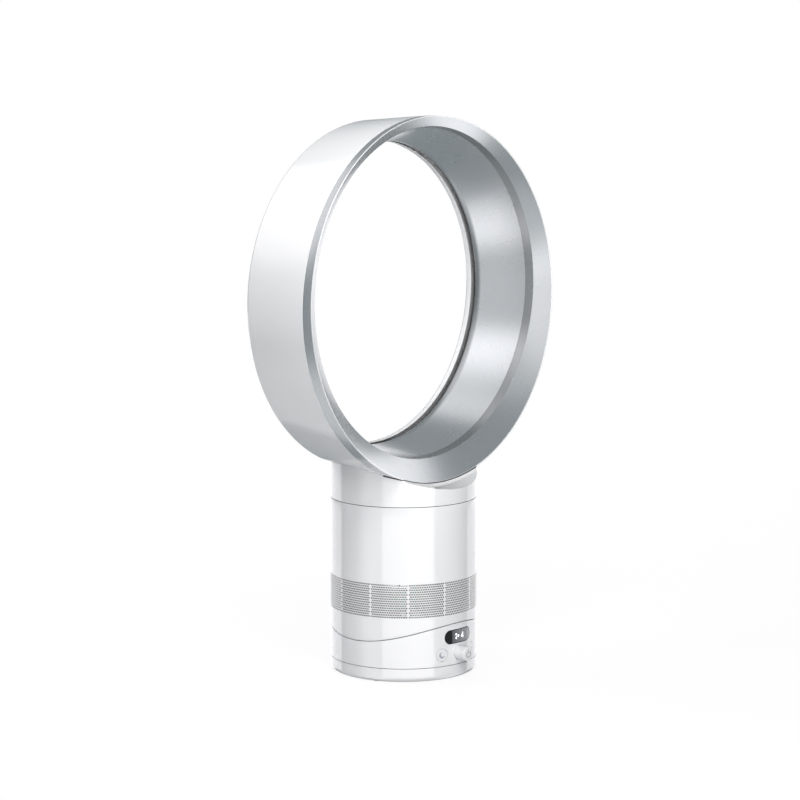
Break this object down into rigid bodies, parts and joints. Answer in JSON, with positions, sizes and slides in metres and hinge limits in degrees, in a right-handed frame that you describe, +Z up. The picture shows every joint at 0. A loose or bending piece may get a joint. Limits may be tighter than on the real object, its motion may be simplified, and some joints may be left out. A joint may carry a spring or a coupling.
{
  "type": "bladeless desk fan",
  "caption": "Bladeless desk fan: an air loop on a round body that tilts in a base, which oscillates on its foot.",
  "frame": {"origin": "on the floor under the axis of the round body, in the plane of the foot's rubber pads", "axes": "+Z up, -Y the front, where the knob is and the air leaves, +X to the right seen from the front"},
  "size_m": [0.359, 0.1599, 0.552],
  "materials": {
    "white_gloss": "gloss",
    "silver_satin": "satin metallic",
    "black_gloss": "high gloss",
    "rubber": "matt",
    "steel": "bright",
    "iron": "matt",
    "brass": "satin",
    "acetal": "matt",
    "grey_plastic": "matt",
    "dark_plastic": "matt",
    "circuit_board": "satin"
  },
  "bodies": {
    "foot": {"foot_tray": "white_gloss", "rubber_feet": "rubber", "ballast_plate": "iron", "spindle": "steel", "fixed_gear": "acetal", "glide_ring": "acetal", "lead_grommet": "rubber", "foot_screws": "steel", "spindle_clip": "steel"},
    "base": {"turntable": "grey_plastic", "turntable_bush": "acetal", "lower_housing": "white_gloss", "cradle": "grey_plastic", "rail_caps": "steel", "tilt_glides": "acetal", "rail_screws": "steel", "oscillation_motor": "steel", "motor_screws": "steel", "control_board": "circuit_board", "display_window": "black_gloss", "encoder_body": "grey_plastic", "button_switches": "dark_plastic", "base_screws": "steel"},
    "pinion": {"drive_pinion": "brass"},
    "dial_carrier": {"dial_plunger": "acetal"},
    "dial": {"dial_knob": "white_gloss", "dial_shaft": "steel"},
    "night_key": {"night_button": "white_gloss"},
    "swing_key": {"swing_button": "white_gloss"},
    "body": {"body_shell": "white_gloss", "body_floor": "grey_plastic", "power_board": "circuit_board", "fan_bulkhead": "grey_plastic", "bulkhead_mounts": "rubber", "impeller_housing": "grey_plastic", "vane_ring": "grey_plastic", "motor_bucket": "grey_plastic", "bucket_cap": "grey_plastic", "motor_stator": "iron", "motor_bearings": "steel", "bayonet_ring": "grey_plastic", "neck_seal": "rubber", "body_screws": "steel"},
    "rotor": {"impeller": "grey_plastic", "motor_rotor": "steel"},
    "loop": {"neck_collar": "white_gloss", "loop_shell": "white_gloss", "diffuser": "silver_satin", "front_trim": "silver_satin", "slot_spacers": "acetal", "front_gasket": "rubber", "loop_screws": "steel"}
  },
  "joints": [
    {"name": "oscillate", "type": "hinge", "parent": "foot", "child": "base", "pos_m": [0, 0, 0.0152], "axis": [0, 0, 1], "range_deg": [-35, 35]},
    {"name": "pinion_spin", "type": "hinge", "parent": "base", "child": "pinion", "pos_m": [0, 0.04015, 0.01], "axis": [0, 0, 1], "range_deg": [-105, 105]},
    {"name": "dial_press", "type": "slide", "parent": "base", "child": "dial_carrier", "axis": [0, 1, 0], "range_m": [0, 0.0008], "stiffness_N_per_m": 800, "springref_m": -0.001},
    {"name": "dial_turn", "type": "hinge", "parent": "dial_carrier", "child": "dial", "pos_m": [0, -0.08, 0.0257], "axis": [0, -1, 0], "continuous": true},
    {"name": "night_press", "type": "slide", "parent": "base", "child": "night_key", "axis": [0.2974, 0.9548, 0], "range_m": [0, 0.0008], "stiffness_N_per_m": 800, "springref_m": -0.001},
    {"name": "swing_press", "type": "slide", "parent": "base", "child": "swing_key", "axis": [-0.2974, 0.9548, 0], "range_m": [0, 0.0008], "stiffness_N_per_m": 800, "springref_m": -0.001},
    {"name": "tilt", "type": "hinge", "parent": "base", "child": "body", "pos_m": [0, 0, 0.211], "axis": [1, 0, 0], "range_deg": [-10, 10]},
    {"name": "impeller_spin", "type": "hinge", "parent": "body", "child": "rotor", "pos_m": [0, 0, 0.12], "axis": [0, 0, 1], "continuous": true},
    {"name": "loop_twist", "type": "hinge", "parent": "body", "child": "loop", "pos_m": [0, 0, 0.1746], "axis": [0, 0, 1], "range_deg": [0, 18]}
  ],
  "couplings": [
    {"joint": "pinion_spin", "follows": "oscillate", "ratio": 3}
  ]
}
